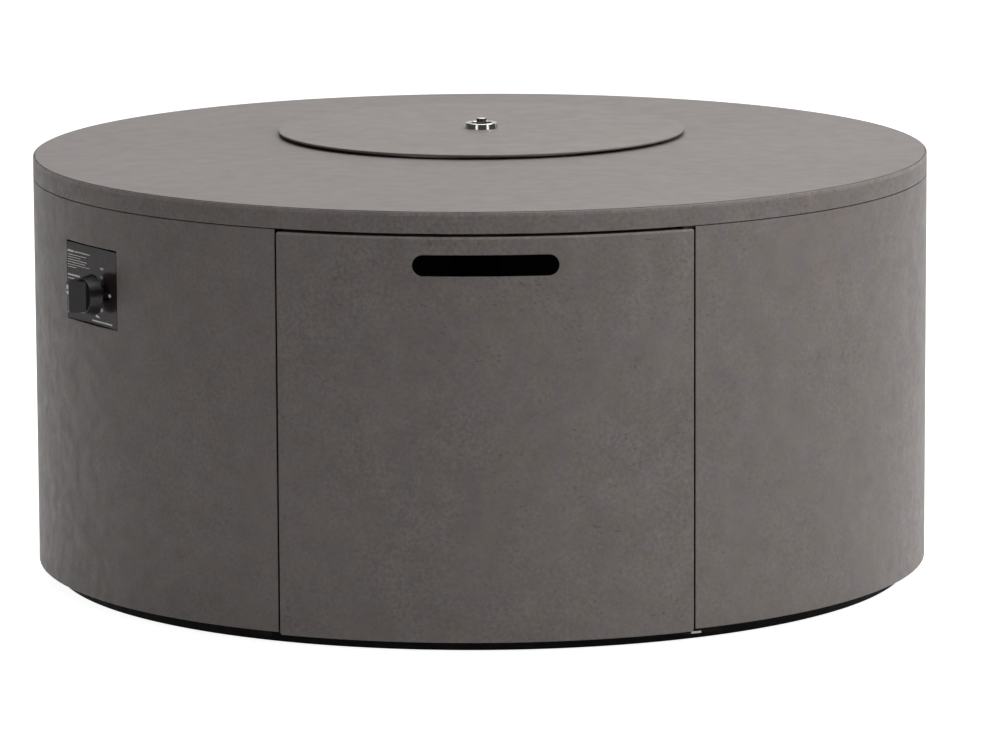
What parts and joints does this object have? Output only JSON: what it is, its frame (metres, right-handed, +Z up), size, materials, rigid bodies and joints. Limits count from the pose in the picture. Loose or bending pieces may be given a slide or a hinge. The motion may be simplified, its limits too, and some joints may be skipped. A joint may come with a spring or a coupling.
{
  "type": "gas fire pit table",
  "caption": "Round gas fire-pit table with a concrete-look shell, hinged front bottle door, side control knob and a lift-off lid over a rear-set burner pan.",
  "frame": {"origin": "centre of the round body at floor level", "axes": "+Z up, -Y out of the middle of the front door, +X to the right seen from the front"},
  "size_m": [1.06, 1.06, 0.5185],
  "materials": {
    "concrete_coat": "matte",
    "black_coat": "matte",
    "black_panel": "satin",
    "rubber": "matte",
    "zinc": "satin",
    "black_nylon": "matte",
    "magnet": "matte",
    "knob_plastic": "satin",
    "valve_alloy": "cast",
    "brass": "machined",
    "stainless": "brushed",
    "white_ceramic": "glazed",
    "lava": "rough",
    "polished_steel": "polished"
  },
  "bodies": {
    "cabinet": {"floor_pads": "rubber", "plinth_ring": "black_coat", "base_tray": "black_coat", "left_shell": "concrete_coat", "right_shell": "concrete_coat", "rear_joint_strip": "black_coat", "left_jamb": "black_coat", "right_jamb": "black_coat", "side_posts": "black_coat", "top_ring": "black_coat", "top_rails": "black_coat", "rim_band": "concrete_coat", "table_top": "concrete_coat", "lower_hinge_plate": "zinc", "upper_hinge_plate": "black_coat", "hinge_pins": "zinc", "hinge_bolts": "black_coat", "catch_body": "black_nylon", "catch_magnet": "magnet", "control_plate": "black_panel", "panel_studs": "zinc", "return_spring": "zinc", "gas_valve": "valve_alloy", "valve_screws": "black_coat", "piezo_module": "black_nylon", "inlet_fitting": "brass", "feed_pipe": "valve_alloy", "pipe_nuts": "brass", "burner_pan": "stainless", "burner_ring": "stainless", "burner_locknut": "stainless", "air_mixer": "brass", "inlet_elbow": "brass", "heat_shield": "stainless", "shield_spacers": "stainless", "ignition_bracket": "zinc", "flame_probe": "stainless", "spark_electrode": "white_ceramic", "lava_rocks": "lava"},
    "door": {"door_panel": "concrete_coat", "door_brace": "black_coat", "lower_pivot_block": "black_nylon", "upper_pivot_block": "black_nylon", "strike_plate": "zinc"},
    "push_stage": {"push_collar": "brass"},
    "knob": {"control_knob": "knob_plastic", "valve_spindle": "brass"},
    "lid": {"lid_plate": "concrete_coat", "lid_bumpers": "rubber", "handle_ring": "polished_steel", "handle_stud": "polished_steel", "handle_nut": "polished_steel"}
  },
  "joints": [
    {"name": "door_hinge", "type": "hinge", "parent": "cabinet", "child": "door", "pos_m": [0.22337, -0.47185, 0.24], "axis": [0, 0, 1], "range_deg": [0, 95]},
    {"name": "lid_lift", "type": "slide", "parent": "cabinet", "child": "lid", "axis": [0, 0, 1], "range_m": [0, 0.3]},
    {"name": "knob_push", "type": "slide", "parent": "cabinet", "child": "push_stage", "axis": [0.8531, 0.5218, 0], "range_m": [0, 0.0035], "stiffness_N_per_m": 600, "springref_m": -0.001, "deforming": ["return_spring"]},
    {"name": "knob_turn", "type": "hinge", "parent": "push_stage", "child": "knob", "pos_m": [-0.4384, -0.29286, 0.3746], "axis": [-0.8531, -0.5218, 0], "range_deg": [0, 180]}
  ]
}
